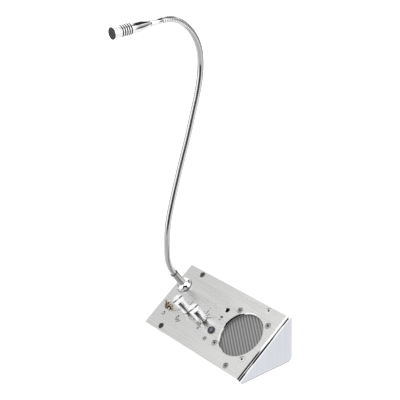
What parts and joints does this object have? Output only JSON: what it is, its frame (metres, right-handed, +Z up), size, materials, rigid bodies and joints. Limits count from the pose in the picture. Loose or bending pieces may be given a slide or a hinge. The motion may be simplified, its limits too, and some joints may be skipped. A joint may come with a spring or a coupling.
{
  "type": "teller window intercom",
  "caption": "Wedge-shaped steel counter intercom with a sloping face plate, round speaker grille, volume knobs, power switch, lamp, sockets and a bendable microphone neck.",
  "frame": {"origin": "On the counter, under the middle of the console's base", "axes": "+Z up, +X along the face plate from the neck's end to the speaker's, -Y towards the teller"},
  "size_m": [0.1506, 0.1065, 0.3331],
  "materials": {
    "case_steel": "satin",
    "fastener_steel": "satin",
    "neck_chrome": "polished",
    "mic_chrome": "polished",
    "mic_mesh": "satin",
    "knob_metal": "polished",
    "shaft_brass": "satin",
    "switch_nickel": "polished",
    "black_plastic": "gloss",
    "lamp_lens": "gloss",
    "grille_metal": "satin",
    "speaker_steel": "satin",
    "magnet_ferrite": "matte",
    "cone_paper": "matte",
    "dust_cloth": "matte",
    "pad_rubber": "matte",
    "board_green": "satin",
    "chip_black": "matte",
    "header_white": "satin",
    "pot_case": "satin"
  },
  "bodies": {
    "console": {"amplifier_chips": "chip_black", "base_pad": "pad_rubber", "board_capacitors": "black_plastic", "board_connectors": "header_white", "board_screws": "fastener_steel", "board_standoffs": "shaft_brass", "circuit_board": "board_green", "clinch_nuts": "fastener_steel", "dc_inlet": "black_plastic", "dc_inlet_nut": "fastener_steel", "face_plate": "case_steel", "face_screws": "fastener_steel", "housing": "case_steel", "lamp": "lamp_lens", "lamp_bezel": "black_plastic", "line_socket": "black_plastic", "line_socket_nut": "fastener_steel", "listen_pot": "pot_case", "listen_pot_nut": "fastener_steel", "mic_jack": "black_plastic", "neck_01": "neck_chrome", "neck_ferrule": "neck_chrome", "neck_flange": "neck_chrome", "neck_nut": "fastener_steel", "speaker_cloth": "dust_cloth", "speaker_frame": "speaker_steel", "speaker_grille": "grille_metal", "speaker_magnet": "magnet_ferrite", "speaker_nuts": "fastener_steel", "speaker_screws": "fastener_steel", "speaker_spacer": "grille_metal", "switch_body": "switch_nickel", "switch_nut": "switch_nickel", "talk_pot": "pot_case", "talk_pot_nut": "fastener_steel"},
    "talk_control": {"talk_knob": "knob_metal", "talk_shaft": "shaft_brass", "talk_grub_screw": "fastener_steel"},
    "listen_control": {"listen_knob": "knob_metal", "listen_shaft": "shaft_brass", "listen_grub_screw": "fastener_steel"},
    "power_lever": {"switch_lever": "switch_nickel"},
    "cone": {"speaker_cone": "cone_paper"},
    "neck_link_02": {"neck_02": "neck_chrome"},
    "neck_link_03": {"neck_03": "neck_chrome"},
    "neck_link_04": {"neck_04": "neck_chrome"},
    "neck_link_05": {"neck_05": "neck_chrome"},
    "neck_link_06": {"neck_06": "neck_chrome"},
    "neck_link_07": {"neck_07": "neck_chrome"},
    "neck_link_08": {"neck_08": "neck_chrome"},
    "neck_link_09": {"neck_09": "neck_chrome"},
    "neck_link_10": {"neck_10": "neck_chrome"},
    "neck_link_11": {"neck_11": "neck_chrome"},
    "neck_link_12": {"neck_12": "neck_chrome"},
    "microphone": {"neck_13": "neck_chrome", "mic_sleeve": "mic_chrome", "mic_body": "mic_chrome", "mic_grille": "mic_mesh", "mic_capsule": "knob_metal"}
  },
  "joints": [
    {"name": "neck_low_nod", "type": "hinge", "parent": "console", "child": "neck_link_02", "pos_m": [-0.0627, -0.014, 0.08201], "axis": [1, 0, 0], "range_deg": [-12, 12]},
    {"name": "neck_low_sway", "type": "hinge", "parent": "neck_link_02", "child": "neck_link_03", "pos_m": [-0.0627, -0.01301, 0.10512], "axis": [0, 0.9945, -0.1045], "range_deg": [-12, 12]},
    {"name": "neck_nod_03", "type": "hinge", "parent": "neck_link_03", "child": "neck_link_04", "pos_m": [-0.0627, -0.00854, 0.12779], "axis": [1, 0, 0], "range_deg": [-12, 12]},
    {"name": "neck_sway_04", "type": "hinge", "parent": "neck_link_04", "child": "neck_link_05", "pos_m": [-0.0627, -0.00157, 0.14985], "axis": [0, 0.9466, -0.3223], "range_deg": [-12, 12]},
    {"name": "neck_nod_05", "type": "hinge", "parent": "neck_link_05", "child": "neck_link_06", "pos_m": [-0.0627, 0.00599, 0.17172], "axis": [1, 0, 0], "range_deg": [-12, 12]},
    {"name": "neck_sway_06", "type": "hinge", "parent": "neck_link_06", "child": "neck_link_07", "pos_m": [-0.0627, 0.01392, 0.19346], "axis": [0, 0.9348, -0.3551], "range_deg": [-12, 12]},
    {"name": "neck_high_nod", "type": "hinge", "parent": "neck_link_07", "child": "neck_link_08", "pos_m": [-0.0627, 0.02153, 0.21531], "axis": [1, 0, 0], "range_deg": [-12, 12]},
    {"name": "neck_high_sway", "type": "hinge", "parent": "neck_link_08", "child": "neck_link_09", "pos_m": [-0.0627, 0.02874, 0.2373], "axis": [0, 0.9472, -0.3206], "range_deg": [-12, 12]},
    {"name": "neck_nod_09", "type": "hinge", "parent": "neck_link_09", "child": "neck_link_10", "pos_m": [-0.0627, 0.03484, 0.25961], "axis": [1, 0, 0], "range_deg": [-12, 12]},
    {"name": "neck_sway_10", "type": "hinge", "parent": "neck_link_10", "child": "neck_link_11", "pos_m": [-0.0627, 0.03681, 0.28261], "axis": [0, 0.9993, 0.0366], "range_deg": [-12, 12]},
    {"name": "neck_nod_11", "type": "hinge", "parent": "neck_link_11", "child": "neck_link_12", "pos_m": [-0.0627, 0.03063, 0.30468], "axis": [1, 0, 0], "range_deg": [-12, 12]},
    {"name": "neck_sway_12", "type": "hinge", "parent": "neck_link_12", "child": "microphone", "pos_m": [-0.0627, 0.01524, 0.3217], "axis": [0, 0.5736, 0.8192], "range_deg": [-12, 12]},
    {"name": "talk_volume", "type": "hinge", "parent": "console", "child": "talk_control", "pos_m": [-0.0379, -0.01034, 0.02841], "axis": [0, -0.5736, 0.8192], "range_deg": [-122.5, 157.5]},
    {"name": "listen_volume", "type": "hinge", "parent": "console", "child": "listen_control", "pos_m": [-0.0121, -0.01034, 0.02841], "axis": [0, -0.5736, 0.8192], "range_deg": [-122.5, 157.5]},
    {"name": "power_switch", "type": "hinge", "parent": "console", "child": "power_lever", "pos_m": [-0.0607, -0.0172, 0.02653], "axis": [1, 0, 0], "range_deg": [0, 22]},
    {"name": "cone_travel", "type": "slide", "parent": "console", "child": "cone", "axis": [0, -0.5736, 0.8192], "range_m": [-0.0008, 0.0008], "stiffness_N_per_m": 800}
  ],
  "couplings": [
    {"joint": "neck_nod_03", "follows": "neck_low_nod", "ratio": 1},
    {"joint": "neck_sway_04", "follows": "neck_low_sway", "ratio": 1},
    {"joint": "neck_nod_05", "follows": "neck_low_nod", "ratio": 1},
    {"joint": "neck_sway_06", "follows": "neck_low_sway", "ratio": 1},
    {"joint": "neck_nod_09", "follows": "neck_high_nod", "ratio": 1},
    {"joint": "neck_sway_10", "follows": "neck_high_sway", "ratio": 1},
    {"joint": "neck_nod_11", "follows": "neck_high_nod", "ratio": 1},
    {"joint": "neck_sway_12", "follows": "neck_high_sway", "ratio": 1}
  ]
}
